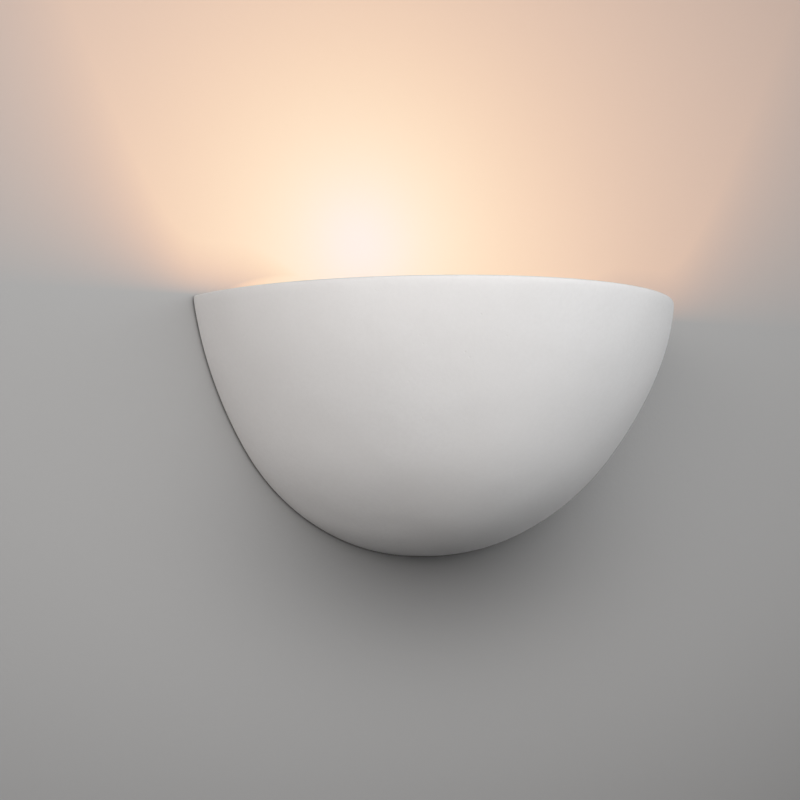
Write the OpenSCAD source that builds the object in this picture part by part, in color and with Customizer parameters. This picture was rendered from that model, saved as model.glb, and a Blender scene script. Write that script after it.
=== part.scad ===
// Half-bowl plaster uplighter for a wall, with its bracket, lampholder and lamp.
// Origin: on the wall face of the bracket, midway between the two wall screws.
// +X along the wall, -Y out into the room, +Z up. Millimetres.

/* [Shade] */
// Width along the wall
shade_w = 300; // [285:1:330]
// Projection from the back edge to the front of the rim
shade_d = 176; // [168:1:195]
// Height from the lowest point to the top of the rim
shade_h = 153; // [146:1:165]
// Wall thickness of the casting
shade_wall = 7; // [6:0.5:9]
// Lean of the wall just below the rim, in degrees from upright
rim_lean = 9.7; // [8:0.1:11]
// Radius of the upper part of the side, seen from the front
side_r = 238; // [228:1:255]
// Half width of the flat at the lowest point
floor_flat = 4.5; // [2:0.5:9]
// Shadow gap between the back edge and the wall
shadow_gap = 1.2; // [0.8:0.1:1.4]

/* [Lugs and studs] */
// Distance from the rim down to the line of the studs
stud_drop = 52; // [48:1:58]
// Distance from the inner face of the shade in to each stud
stud_inset = 29; // [26:1:34]
// Diameter of a stud
stud_dia = 4; // [4:1:5]
// Length of a stud in front of the bracket
stud_len = 29; // [28:1:36]
// Diameter of a stud's pressed-in head
stud_head_dia = 6.4; // [6:0.2:8]
// Height of a cast lug
lug_h = 34; // [30:1:40]
// Thickness of a cast lug
lug_t = 11; // [9:0.5:12]
// Height of the raised seat round the stud hole
seat_t = 1.5; // [1:0.25:2.5]
// Diameter of the raised seat
seat_dia = 20; // [19:1:24]
// Space all round a stud in its lug
stud_play = 1; // [0.5:0.25:1.5]

/* [Thumb nuts] */
// Diameter of the knurled grip
nut_dia = 16; // [14:0.5:18]
// Thickness of the knurled grip
nut_grip = 7; // [6:0.5:8]
// Diameter of the shoulder that bears on the washer
nut_neck_dia = 11; // [9:0.5:12]
// Length of the shoulder
nut_neck = 3; // [2:0.5:4]
// Number of flutes round the grip
nut_flutes = 18; // [12:1:24]
// Depth of a flute
flute_depth = 0.5; // [0.3:0.1:0.7]
// Diameter of a washer
washer_dia = 15; // [14:0.5:18]
// Thickness of a washer
washer_t = 1; // [0.8:0.1:1.5]

/* [Bracket] */
// Sheet thickness of the wall bracket
bracket_t = 1.5; // [1.5:0.25:2]
// Height of the cross bar
bar_h = 26; // [24:1:30]
// Width of the centre plate
plate_w = 68; // [64:1:74]
// Depth of the stiffening lips along the bar
lip_depth = 5; // [4:0.5:7]
// Space between the end of a lip and the lug beside it
lip_end = 4; // [3:0.5:8]
// Inside radius of every bend
bend_r = 1.5; // [1:0.25:2.5]
// Distance between the two wall screw slots
slot_spacing = 88; // [86:1:96]
// Width of a wall screw slot
slot_w = 5.2; // [4.5:0.1:6]
// Length of a wall screw slot
slot_len = 12; // [9:0.5:14]

/* [Cable entry] */
// Bore of the cable bushing
bushing_bore = 9; // [7:0.5:10]
// Diameter of the bushing where it fills its hole
bushing_dia = 14; // [13:0.5:15]
// Diameter of the bushing's front flange
flange_dia = 20; // [18:0.5:21]
// Thickness of the bushing's front flange
flange_t = 2; // [1.5:0.25:3]
// Distance of the bushing from the centre line
bushing_x = 21; // [20:0.5:22]

/* [Terminal block] */
// Distance between neighbouring poles
pole_pitch = 10; // [9.5:0.1:10.5]
// Height of the block, along its wire holes
block_h = 18; // [16:0.5:20]
// Depth of the block in front of the bracket, without its screw towers
block_t = 10; // [9:0.5:12]
// Width of one pole
pole_w = 5.6; // [5.4:0.1:6]
// Space between the bar's lower edge and the block
block_drop = 2; // [1:0.5:4]
// Outside diameter of a brass clamp
clamp_dia = 4.2; // [4:0.1:4.4]
// Bore of a brass clamp
clamp_bore = 3; // [2.8:0.1:3.2]
// Diameter of a clamping screw
clamp_screw_dia = 2.6; // [2.4:0.1:2.8]

/* [Lampholder] */
// Distance from the wall to the lamp's axis
lamp_out = 62; // [58:1:68]
// Diameter of the porcelain body at its foot
holder_dia = 40; // [39:0.5:44]
// Diameter of the porcelain body at its mouth
mouth_dia = 37; // [36:0.5:40]
// Height of the porcelain body
holder_h = 42; // [41:0.5:46]
// Depth of the wiring chamber under the porcelain floor
chamber_h = 9; // [8:0.5:10]
// Thickness of the porcelain floor
floor_t = 5; // [4:0.5:6]
// Outside diameter of the metal screw shell
shell_dia = 28.6; // [28.4:0.1:29]
// Thickness of the metal screw shell
shell_t = 0.5; // [0.4:0.1:0.6]
// Space between the screw shell and the porcelain
shell_play = 0.3; // [0.2:0.1:0.4]
// Distance between the two fixing screws of the holder
holder_screws = 22; // [21:0.5:22]
// Diameter of those screws
holder_screw_dia = 3; // [3:0.5:3.5]

/* [Arm] */
// Sheet thickness of the arm
arm_t = 1.5; // [1.25:0.25:2]
// Width of the arm
arm_w = 30; // [28:1:32]
// Least space under the arm, above the floor of the shade
arm_clear = 5; // [4:0.5:8]
// Reach of the side gussets along each leg
gusset = 17; // [12:1:18]

/* [Lamp] */
// Diameter of the globe
globe_dia = 45; // [44:1:50]
// Length of the lamp from its tip to the top of the globe
lamp_len = 78; // [76:1:84]
// Wall of the globe
globe_t = 1.2; // [1:0.1:1.6]
// Diameter of the screw cap
cap_dia = 26.4; // [26:0.1:26.8]
// Height of the screw cap's top edge above the tip
cap_top = 26; // [25.5:0.25:27]
// Height of the globe's lower edge above the tip
globe_foot = 44; // [42:1:46]

/* [Wires] */
// Diameter of an insulated wire
wire_dia = 2.6; // [2.2:0.1:2.8]
// Diameter of a ferrule on a wire's end
ferrule_dia = 1.8; // [1.6:0.1:2]

/* [Hidden] */
$fn = 96;
// Running clearance, all round, of a screw or nut that turns on its thread
thread_play = 0.05;
// Clearance, all round, between pieces that are fixed to each other
fit_play = 0.05;
// Gap between faces that only bear on each other
face_gap = 0.1;
// Clearance, all round, between a bought-in screw and a plain hole
hole_play = 0.3;
// Oversize of every cutting shape
cut = 1;
// Sides and rings of a swept wire
wire_sides = 10;
wire_rings = 14;

// Shape of the bowl, measured from the middle of the rim plane
plan_ratio = shade_d / (shade_w / 2);
lip_r = shade_wall / 2;
lip_x = shade_w / 2 - lip_r;
side_x = lip_x - (side_r - lip_r) * cos(rim_lean);
side_z = -lip_r + (side_r - lip_r) * sin(rim_lean);
lower_x = floor_flat;
lower_r = (pow(side_r, 2) - pow(lower_x - side_x, 2) - pow(shade_h + side_z, 2))
    / (2 * (side_r - shade_h - side_z));
lower_z = lower_r - shade_h;
seam_slope = (lower_z - side_z) / (lower_x - side_x);
// Level of the line through both arc centres, where one arc runs into the other
function seam_z(x) = side_z + (x - side_x) * seam_slope;
// Level at which the arcs meet, on a wall surface that lies t inside the outer one
function meet_z(t) = side_z + (lower_z - side_z) * (side_r - t) / (side_r - lower_r);
// Half width of the bowl at level z, t inside the outer surface
function half_width(z, t) = z > meet_z(t)
    ? side_x + sqrt(pow(side_r - t, 2) - pow(z - side_z, 2))
    : lower_x + sqrt(pow(lower_r - t, 2) - pow(z - lower_z, 2));
// Level of the bowl's floor at half width x, t inside the outer surface
function floor_z(x, t) = lower_z - sqrt(pow(lower_r - t, 2) - pow(max(x, lower_x) - lower_x, 2));
// The same at a place given by its distance x off the centre line and y out from the back edge
function floor_at(x, y, t) = floor_z(norm([x, y / plan_ratio]), t);

// Places on the bracket
rim_z = stud_drop;
stud_x = half_width(-stud_drop, shade_wall) - stud_inset;
lug_back = bracket_t + face_gap;
seat_y = lug_back + lug_t + seat_t;
washer_y = seat_y + face_gap;
nut_y = washer_y + washer_t + face_gap;
lip_x2 = stud_x - lug_h / 2 - lip_end;

// Arm and lampholder
arm_end = lamp_out + arm_w / 2;
arm_z = rim_z + floor_at(arm_w / 2, lamp_out - shadow_gap, shade_wall) + arm_clear;
arm_end_z = rim_z + floor_at(0, arm_end - shadow_gap, shade_wall) + arm_clear;
holder_z = max(arm_z, arm_end_z) + arm_t;
floor_top = chamber_h + floor_t;
shell_foot = floor_top + 2;
shell_top = holder_h - 2;
socket_dia = shell_dia + 2 * shell_play;
pillar_dia = holder_screw_dia + 4.2;
chamber_wall = 4;
contact_x = pole_pitch / 2;
contact_y = 9;
contact_r = norm([contact_x, contact_y]);
contact_turn = atan2(contact_y, contact_x);
contact_t = 0.6;
contact_top = floor_top + 2;
contact_rivet_r = 1.3;
post_dia = 7;
post_h = 6;
wire_level = holder_z + 4.5;
notch_w = wire_dia + 1;

// Terminal block, below the bar
block_top = -bar_h / 2 - block_drop;
block_z = block_top - block_h / 2;
block_foot = block_top - block_h;
poles = [-pole_pitch / 2, pole_pitch / 2, 3 * pole_pitch / 2];
wire_out = bracket_t + 5;
block_base_t = 2;
clamp_len = block_h - 3;
block_screw_dia = 2.5;
screw_rise = block_h / 4;
tower_t = 4;
leg_top = block_foot - 3;
rivet_z = (leg_top + holder_z) / 2;
rivet_x = 9;
rivet_dia = 3;
plate_foot = holder_z - arm_t - 2;

// Earth terminal, beside the block
earth_x = poles[2] + 13;
earth_z = block_z + 2;
earth_screw_dia = 4;
// Sheet thickness of the ring lug, and of the washer on it
tag_t = 0.8;
tag_dia = 7.4;
barrel_wall = 0.6;
barrel_h = 6;
barrel_bore = 4;
barrel_y = bracket_t + face_gap + wire_dia / 2 + barrel_wall;
barrel_foot = earth_z - 13;

// Lamp, measured up from its tip
lamp_z = holder_z + contact_top + hole_play;
globe_z = lamp_len - globe_dia / 2;
globe_foot_r = sqrt(pow(globe_dia / 2, 2) - pow(globe_z - globe_foot, 2));
tip_h = 2;
tip_dia = 9.6;
insulator_h = 5;
thread_pitch = 3.6;
thread_depth = 1;
board_t = 1.2;
board_r = globe_foot_r - globe_t - 1;

// --- helpers ---------------------------------------------------------------

// Extrudes a shape drawn in X and Z by t towards the room, from the distance y out
module forward(y, t) {
    translate([0, -y, 0]) rotate([90, 0, 0]) linear_extrude(t) children();
}

// A round bar along Y, from the distance y out, at x and z
module bar_out(x, z, y, r, len) {
    translate([x, -y, z]) rotate([90, 0, 0]) cylinder(r = r, h = len);
}

// A rectangle with its corners rounded to radius r
module round_rect(w, h, r) {
    square([w - 2 * r, h], center = true);
    square([w, h - 2 * r], center = true);
    for (sx = [-1, 1], sy = [-1, 1])
        translate([sx * (w / 2 - r), sy * (h / 2 - r)]) circle(r = r);
}

// A slot with round ends, len long over all
module slot(w, len) {
    square([len - w, w], center = true);
    for (s = [-1, 1]) translate([s * (len - w) / 2, 0]) circle(d = w);
}

// An L bent from sheet: one leg up from the corner, the other out to +X, outer corner at 0,0
module bent_sheet(t, up, out) {
    ro = bend_r + t;
    translate([ro, 0]) square([out - ro, t]);
    translate([0, ro]) square([t, up - ro]);
    intersection() {
        square([ro, ro]);
        translate([ro, ro]) difference() {
            circle(r = ro);
            circle(r = bend_r);
        }
    }
}

// A pan-head screw along -Z from its bearing face at 0, with a cross slot
module pan_screw(d, len, head_d, head_h) {
    translate([0, 0, -len]) cylinder(d = d, h = len);
    difference() {
        cylinder(d1 = head_d, d2 = head_d * 0.8, h = head_h);
        for (a = [0, 90])
            rotate([0, 0, a]) translate([-head_d * 0.3, -0.35, head_h * 0.45])
                cube([head_d * 0.6, 0.7, head_h]);
    }
}

// --- shade -----------------------------------------------------------------

// Half of the bowl's front outline, filled, t inside the outer surface, up to level top
module half_section(t, top) {
    reach = shade_w;
    intersection() {
        translate([side_x, side_z]) circle(r = side_r - t);
        polygon([[0, top], [reach, top], [reach, seam_z(reach)], [0, seam_z(0)]]);
    }
    intersection() {
        translate([lower_x, lower_z]) circle(r = lower_r - t);
        polygon([
            [lower_x, seam_z(lower_x)], [reach, seam_z(reach)],
            [reach, -2 * reach], [lower_x, -2 * reach]
        ]);
    }
    translate([0, t - shade_h]) square([lower_x, shade_h - t + seam_z(lower_x)]);
}

// Wall of the bowl with its full round lip
module wall_section() {
    lip = [lip_x, -lip_r];
    across = [cos(rim_lean), -sin(rim_lean)];
    up = [sin(rim_lean), cos(rim_lean)];
    difference() {
        half_section(0, cut);
        half_section(shade_wall, 2 * cut);
        polygon([
            lip - 3 * shade_wall * across, lip + 3 * shade_wall * across,
            lip + 3 * shade_wall * (across + up), lip + 3 * shade_wall * (up - across)
        ]);
    }
    translate(lip) circle(r = lip_r);
}

// Outline of the right-hand lug, from its round end at the stud into the wall
module lug_outline() {
    top = half_width(lug_h / 2 - stud_drop, shade_wall / 2);
    foot = half_width(-lug_h / 2 - stud_drop, shade_wall / 2);
    translate([stud_x, 0]) circle(d = lug_h);
    polygon([
        [stud_x, -lug_h / 2], [foot, -lug_h / 2],
        [top, lug_h / 2], [stud_x, lug_h / 2]
    ]);
}

module shade() {
    color("gainsboro") difference() {
        union() {
            translate([0, -shadow_gap, rim_z]) scale([1, plan_ratio, 1])
                rotate([0, 0, 180]) rotate_extrude(angle = 180) wall_section();
            for (s = [0, 1])
                mirror([s, 0, 0]) {
                    forward(lug_back, lug_t) lug_outline();
                    bar_out(stud_x, 0, lug_back, seat_dia / 2, lug_t + seat_t);
                }
        }
        for (s = [-1, 1])
            bar_out(s * stud_x, 0, 0, stud_dia / 2 + stud_play, seat_y + cut);
    }
}

module stud_washers() {
    color("whitesmoke") for (s = [-1, 1])
        difference() {
            bar_out(s * stud_x, 0, washer_y, washer_dia / 2, washer_t);
            bar_out(s * stud_x, 0, washer_y - cut, stud_dia / 2 + hole_play, washer_t + 2 * cut);
        }
}

module thumb_nut(x) {
    flute_r = 1;
    color("silver") difference() {
        union() {
            bar_out(x, 0, nut_y, nut_neck_dia / 2, nut_neck + nut_grip);
            bar_out(x, 0, nut_y + nut_neck, nut_dia / 2, nut_grip);
        }
        bar_out(x, 0, nut_y - cut, stud_dia / 2 + thread_play, nut_neck + nut_grip + 2 * cut);
        for (i = [0:nut_flutes - 1])
            translate([x, 0, 0]) rotate([0, i * 360 / nut_flutes, 0])
                bar_out(nut_dia / 2 + flute_r - flute_depth, 0, nut_y + nut_neck - cut,
                    flute_r, nut_grip + 2 * cut);
    }
}

module thumb_nut_left() { thumb_nut(-stud_x); }

module thumb_nut_right() { thumb_nut(stud_x); }

// --- wall bracket ----------------------------------------------------------

// A stiffening lip along the bar, from x1 to x2, turned forward at the bar's upper edge
module bar_lip(x1, x2) {
    translate([x1, 0, bar_h / 2]) rotate([90, 0, 90]) mirror([1, 0]) mirror([0, 1])
        linear_extrude(x2 - x1) bent_sheet(bracket_t, 2 * bend_r + bracket_t, lip_depth + bracket_t);
}

module wall_bracket() {
    plate_h = bar_h / 2 - plate_foot;
    color("silver") difference() {
        union() {
            forward(0, bracket_t) {
                square([2 * stud_x, bar_h], center = true);
                for (s = [-1, 1]) translate([s * stud_x, 0]) circle(d = bar_h);
                translate([0, bar_h / 2 - plate_h / 2]) round_rect(plate_w, plate_h, 5);
            }
            bar_lip(-lip_x2, lip_x2);
            for (s = [0, 1])
                mirror([s, 0, 0]) mirror([0, 0, 1]) bar_lip(plate_w / 2 + 1, lip_x2);
        }
        // Outer corner of the upper bend
        difference() {
            translate([-lip_x2, -bend_r - bracket_t, bar_h / 2 - bend_r - bracket_t])
                cube([2 * lip_x2, bend_r + bracket_t + cut, bend_r + bracket_t + cut]);
            translate([-lip_x2 - cut, -bend_r - bracket_t, bar_h / 2 - bend_r - bracket_t])
                rotate([0, 90, 0]) cylinder(r = bend_r + bracket_t, h = 2 * (lip_x2 + cut));
        }
        // Outer corners of the two lower bends
        for (s = [0, 1])
            mirror([s, 0, 0]) difference() {
                translate([plate_w / 2 + 1, -bend_r - bracket_t, -bar_h / 2 - cut])
                    cube([lip_x2 - plate_w / 2 - 1, bend_r + bracket_t + cut, bend_r + bracket_t + cut]);
                translate([plate_w / 2, -bend_r - bracket_t, -bar_h / 2 + bend_r + bracket_t])
                    rotate([0, 90, 0]) cylinder(r = bend_r + bracket_t, h = lip_x2);
            }
        forward(-cut, bracket_t + 2 * cut) {
            for (s = [-1, 1]) {
                translate([s * slot_spacing / 2, 0]) slot(slot_w, slot_len);
                translate([s * stud_x, 0]) circle(d = stud_head_dia + 2 * fit_play);
                translate([s * rivet_x, rivet_z]) circle(d = rivet_dia + 2 * fit_play);
            }
            translate([-bushing_x, block_z]) circle(d = bushing_dia + 2 * fit_play);
            translate([0, block_z]) circle(d = block_screw_dia + 2 * fit_play);
            translate([earth_x, earth_z]) circle(d = earth_screw_dia + 2 * fit_play);
        }
    }
}

module shade_studs() {
    color("silver") for (s = [-1, 1]) {
        bar_out(s * stud_x, 0, 0, stud_head_dia / 2, bracket_t);
        bar_out(s * stud_x, 0, bracket_t, stud_dia / 2, stud_len - 1);
        translate([s * stud_x, -bracket_t - stud_len + 1, 0]) rotate([90, 0, 0])
            cylinder(d1 = stud_dia, d2 = stud_dia - 1.4, h = 1);
    }
}

module cable_bushing() {
    color("dimgray") difference() {
        union() {
            bar_out(-bushing_x, block_z, 0, bushing_dia / 2, bracket_t + face_gap);
            bar_out(-bushing_x, block_z, bracket_t + face_gap, flange_dia / 2, flange_t);
        }
        bar_out(-bushing_x, block_z, -cut, bushing_bore / 2, bracket_t + flange_t + 2 * cut);
    }
}

// --- terminal block --------------------------------------------------------

module terminal_block() {
    half_w = pole_w / 2;
    color("whitesmoke") difference() {
        union() {
            forward(bracket_t + face_gap, block_base_t)
                translate([poles[1], block_z])
                    square([2 * pole_pitch + pole_w, block_h - 4], center = true);
            for (x = poles) {
                forward(bracket_t + face_gap, block_t - half_w)
                    translate([x, block_z]) square([pole_w, block_h], center = true);
                translate([x, -wire_out, block_foot]) cylinder(r = half_w, h = block_h);
                for (s = [-1, 1])
                    bar_out(x, block_z + s * screw_rise, wire_out, half_w, tower_t);
            }
        }
        for (x = poles) {
            translate([x, -wire_out, block_foot - cut])
                cylinder(r = clamp_dia / 2 + fit_play, h = block_h + 2 * cut);
            for (s = [-1, 1])
                bar_out(x, block_z + s * screw_rise, wire_out, clamp_screw_dia / 2 + hole_play / 2,
                    tower_t + cut);
        }
        bar_out(0, block_z, 0, block_screw_dia / 2 + hole_play, bracket_t + block_base_t + cut);
    }
}

module terminal_clamps() {
    color("goldenrod") for (x = poles)
        difference() {
            translate([x, -wire_out, block_z]) cylinder(d = clamp_dia, h = clamp_len, center = true);
            translate([x, -wire_out, block_z]) cylinder(d = clamp_bore, h = block_h, center = true);
            for (s = [-1, 1])
                bar_out(x, block_z + s * screw_rise, wire_out, clamp_screw_dia / 2 + fit_play, block_t);
        }
}

module terminal_screws() {
    tip = clamp_bore / 2 - 0.3;
    color("silver") for (x = poles, s = [-1, 1])
        translate([0, 0, block_z + s * screw_rise]) difference() {
            bar_out(x, 0, wire_out + tip, clamp_screw_dia / 2, tower_t - tip - 0.6);
            translate([x - 0.3, -wire_out - tower_t, -2]) cube([0.6, 1.4, 4]);
        }
}

module block_screw() {
    bearing = bracket_t + block_base_t + 2 * face_gap;
    color("silver") translate([0, -bearing, block_z]) rotate([90, 0, 0])
        pan_screw(block_screw_dia, bearing, 4, 1.6);
}

// --- earth -----------------------------------------------------------------

module earth_lug() {
    color("silver") difference() {
        union() {
            bar_out(earth_x, earth_z, bracket_t + face_gap, tag_dia / 2, tag_t);
            forward(bracket_t + face_gap, tag_t)
                translate([earth_x, earth_z - 5]) square([3, 6], center = true);
            translate([earth_x, -barrel_y, barrel_foot])
                cylinder(d = wire_dia + 2 * barrel_wall, h = barrel_h);
        }
        bar_out(earth_x, earth_z, 0, earth_screw_dia / 2 + hole_play, 2 * bracket_t);
        translate([earth_x, -barrel_y, barrel_foot - cut])
            cylinder(d = wire_dia + 2 * fit_play, h = barrel_bore + cut);
    }
}

module earth_washer() {
    color("silver") difference() {
        bar_out(earth_x, earth_z, bracket_t + tag_t + 2 * face_gap, tag_dia / 2, tag_t);
        bar_out(earth_x, earth_z, 0, earth_screw_dia / 2 + hole_play, bracket_t + 2 * tag_t + cut);
    }
}

module earth_screw() {
    bearing = bracket_t + 2 * tag_t + 3 * face_gap;
    color("goldenrod") translate([earth_x, -bearing, earth_z]) rotate([90, 0, 0])
        pan_screw(earth_screw_dia, bearing, 7, 2.6);
}

// --- arm -------------------------------------------------------------------

module holder_arm() {
    under = holder_z - arm_t;
    back = bracket_t + face_gap;
    leg = leg_top - under;
    color("silver") difference() {
        union() {
            // Both legs, seen from the side
            intersection() {
                translate([-arm_w / 2, -back, under]) rotate([90, 0, 90]) mirror([1, 0])
                    linear_extrude(arm_w) bent_sheet(arm_t, leg, arm_end - back);
                union() {
                    translate([-arm_w / 2, -lamp_out, under - cut]) cube([arm_w, lamp_out, leg + 2 * cut]);
                    translate([0, -lamp_out, under - cut]) cylinder(d = arm_w, h = leg);
                }
            }
            // Side gussets, turned up from the same sheet
            for (s = [0, 1])
                mirror([s, 0, 0]) translate([arm_w / 2 - arm_t, -back, under]) rotate([90, 0, 90])
                    mirror([1, 0]) linear_extrude(arm_t) polygon([
                        [arm_t / 2, arm_t + bend_r], [arm_t + bend_r, arm_t / 2],
                        [gusset + arm_t, arm_t / 2], [arm_t / 2, gusset + arm_t]
                    ]);
        }
        for (s = [-1, 1]) {
            bar_out(s * rivet_x, rivet_z, 0, rivet_dia / 2 + fit_play, 2 * back + arm_t);
            translate([s * holder_screws / 2, -lamp_out, under - cut])
                cylinder(r = holder_screw_dia / 2 + thread_play, h = arm_t + 2 * cut);
        }
    }
}

module arm_rivets() {
    grip = bracket_t + face_gap + arm_t;
    color("silver") for (s = [-1, 1]) {
        bar_out(s * rivet_x, rivet_z, 0, rivet_dia / 2, grip + face_gap);
        translate([s * rivet_x, -grip - face_gap, rivet_z]) rotate([90, 0, 0])
            cylinder(d1 = 5.6, d2 = 3.6, h = 1.2);
    }
}

// --- lampholder ------------------------------------------------------------

// Puts children on the lamp's axis with the arm's upper face at z = 0
module at_holder() { translate([0, -lamp_out, holder_z]) children(); }

// Puts children over the two places where the contacts are riveted
module at_contacts() {
    for (s = [-1, 1]) translate([s * contact_x, s * contact_y, 0]) children();
}

module holder_porcelain() {
    foot_h = 12;
    collar_h = 4;
    color("ivory") at_holder() difference() {
        union() {
            translate([0, 0, face_gap]) cylinder(d = holder_dia, h = foot_h - face_gap);
            translate([0, 0, foot_h]) cylinder(d1 = holder_dia, d2 = mouth_dia - 2, h = 2);
            translate([0, 0, foot_h]) cylinder(d = mouth_dia - 2, h = holder_h - foot_h);
            translate([0, 0, holder_h - collar_h]) cylinder(d = mouth_dia, h = collar_h);
        }
        translate([0, 0, floor_top]) cylinder(d = socket_dia, h = holder_h);
        translate([0, 0, holder_h - 1.2])
            cylinder(d1 = socket_dia, d2 = socket_dia + 2.4 + 2 * cut, h = 1.2 + cut);
        difference() {
            translate([0, 0, -cut]) cylinder(d = holder_dia - 2 * chamber_wall, h = chamber_h + cut);
            for (s = [-1, 1])
                translate([s * holder_screws / 2, 0, -2 * cut]) cylinder(d = pillar_dia, h = holder_h);
        }
        for (s = [-1, 1]) {
            translate([s * holder_screws / 2, 0, -cut])
                cylinder(d = holder_screw_dia + 2 * hole_play, h = holder_h);
            translate([s * contact_x - notch_w / 2, holder_dia / 2 - chamber_wall - 2, -cut])
                cube([notch_w, chamber_wall + 2 + cut, chamber_h - 2 + cut]);
        }
        at_contacts() cylinder(r = contact_rivet_r + fit_play, h = holder_h);
    }
}

module holder_shell() {
    tab_w = 5;
    color("silver") at_holder() {
        difference() {
            translate([0, 0, shell_foot]) cylinder(d = shell_dia, h = shell_top - shell_foot);
            translate([0, 0, shell_foot - cut])
                cylinder(d = shell_dia - 2 * shell_t, h = shell_top - shell_foot + 2 * cut);
        }
        // Tab down to the floor and in to its rivet
        difference() {
            rotate([0, 0, contact_turn]) {
                translate([contact_r - 2.8, -tab_w / 2, floor_top + face_gap])
                    cube([shell_dia / 2 - contact_r + 2.5, tab_w, contact_t]);
                translate([shell_dia / 2 - shell_t - 0.2, -tab_w / 2, floor_top + face_gap])
                    cube([shell_t, tab_w, shell_foot - floor_top + 2]);
            }
            at_contacts() cylinder(r = contact_rivet_r + fit_play, h = holder_h);
        }
    }
}

// Springy strip from its rivet up to the middle of the socket
module holder_centre_contact() {
    strip_w = 5;
    rise = contact_top - floor_top - contact_t;
    color("goldenrod") at_holder() difference() {
        rotate([0, 0, contact_turn + 180]) {
            translate([0, strip_w / 2, floor_top + face_gap]) rotate([90, 0, 0]) linear_extrude(strip_w)
                polygon([
                    [contact_r + 2.8, 0], [contact_r + 2.8, contact_t],
                    [contact_r - 2.6, contact_t], [2.5, rise + contact_t - face_gap],
                    [-2.5, rise + contact_t - face_gap], [-3.5, rise - contact_t],
                    [-2.5, rise - face_gap], [2.5, rise - face_gap], [contact_r - 3, 0]
                ]);
        }
        at_contacts() cylinder(r = contact_rivet_r + fit_play, h = holder_h);
    }
}

// Hollow rivets that join each contact to the terminal below the floor
module holder_rivets() {
    low = chamber_h - face_gap;
    high = floor_top + face_gap + contact_t + face_gap;
    color("goldenrod") at_holder() at_contacts() {
        translate([0, 0, low]) cylinder(r = contact_rivet_r, h = high - low);
        translate([0, 0, high]) cylinder(r1 = 2.3, r2 = 1.8, h = 0.7);
    }
}

module holder_terminals() {
    color("goldenrod") at_holder() at_contacts() difference() {
        translate([0, 0, chamber_h - face_gap - post_h]) cylinder(d = post_dia, h = post_h);
        translate([0, post_dia / 2 + cut, wire_level - holder_z]) rotate([90, 0, 0])
            cylinder(r = ferrule_dia / 2 + hole_play, h = post_dia - 1);
        translate([0, 0, chamber_h - face_gap - post_h - cut])
            cylinder(r = 1 + fit_play, h = wire_level - holder_z - chamber_h + post_h + cut);
    }
}

module holder_terminal_screws() {
    low = chamber_h - face_gap - post_h;
    color("silver") at_holder() at_contacts() difference() {
        translate([0, 0, low - 1.2]) cylinder(r = 1, h = wire_level - holder_z - low - ferrule_dia / 2 + 1);
        translate([-2, -0.25, low - 1.8]) cube([4, 0.5, 1.2]);
    }
}

module holder_screws() {
    bearing = floor_top + face_gap;
    color("silver") at_holder() for (s = [-1, 1])
        translate([s * holder_screws / 2, 0, bearing])
            pan_screw(holder_screw_dia, bearing + arm_t + 1.5, 5.4, 1.7);
}

// --- wires -----------------------------------------------------------------

// Point at t on the cubic curve with the four control points p
function bezier(p, t) =
    pow(1 - t, 3) * p[0] + 3 * pow(1 - t, 2) * t * p[1] + 3 * (1 - t) * t * t * p[2] + t * t * t * p[3];
function unit(v) = v / norm(v);

// Round wire along a list of points; side never lies along the wire
module swept_wire(path, r, side) {
    last = len(path) - 1;
    function along(i) = unit(path[min(i + 1, last)] - path[max(i - 1, 0)]);
    rings = [for (i = [0:last])
        let (a = unit(cross(along(i), side)), b = cross(a, along(i)))
            for (k = [0:wire_sides - 1])
                let (w = k * 360 / wire_sides) path[i] + r * (cos(w) * a + sin(w) * b)];
    n = wire_sides;
    walls = [for (i = [0:last - 1], k = [0:n - 1])
        let (m = (k + 1) % n)
            each [[i * n + k, i * n + m, i * n + n + k], [i * n + m, i * n + n + m, i * n + n + k]]];
    ends = concat(
        [for (k = [1:n - 2]) [0, k + 1, k]],
        [for (k = [1:n - 2]) [last * n, last * n + k, last * n + k + 1]]
    );
    polyhedron(points = rings, faces = concat(walls, ends));
}

// Route of a lampholder wire from pole i, down and out to its terminal post at y_end
function holder_route(i, y_end) =
    let (
        start = [poles[i], -wire_out, block_foot - face_gap],
        entry = [poles[i], -lamp_out + holder_dia / 2 + 2, wire_level],
        drop = start[2] - wire_level
    )
    concat(
        [start],
        [for (k = [0:wire_rings])
            bezier([start - [0, 0, 2], start - [0, 0, drop * 0.8], entry + [0, drop, 0], entry],
                k / wire_rings)],
        [[poles[i], y_end, wire_level]]
    );

module live_wire() {
    color("saddlebrown") swept_wire(
        holder_route(0, -lamp_out - contact_y + post_dia / 2 + face_gap), wire_dia / 2, [1, 0, 0]);
}

module neutral_wire() {
    color("royalblue") swept_wire(
        holder_route(1, -lamp_out + contact_y + post_dia / 2 + face_gap), wire_dia / 2, [1, 0, 0]);
}

// Down from the third pole, round and straight up into the ring lug's barrel
module earth_wire() {
    sag = 14;
    start = [poles[2], -wire_out, block_foot - face_gap];
    entry = [earth_x, -barrel_y, barrel_foot - 1];
    stop = [earth_x, -barrel_y, barrel_foot + barrel_bore - face_gap];
    loop = entry[2] - start[2] + sag;
    color("limegreen") swept_wire(
        concat(
            [for (k = [0:wire_rings])
                bezier([start, start - [0, 0, sag], entry - [0, 0, loop], entry], k / wire_rings)],
            [stop]
        ),
        wire_dia / 2, [0, 1, 0]);
}

// Crimped metal ends, in the block's clamps and in the lampholder's posts
module wire_ferrules() {
    in_block = 7;
    in_post = 4;
    color("silver") {
        for (x = poles)
            translate([x, -wire_out, block_foot]) cylinder(d = ferrule_dia, h = in_block);
        at_holder() at_contacts() translate([0, post_dia / 2, wire_level - holder_z])
            rotate([90, 0, 0]) cylinder(d = ferrule_dia, h = in_post);
    }
}

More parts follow.
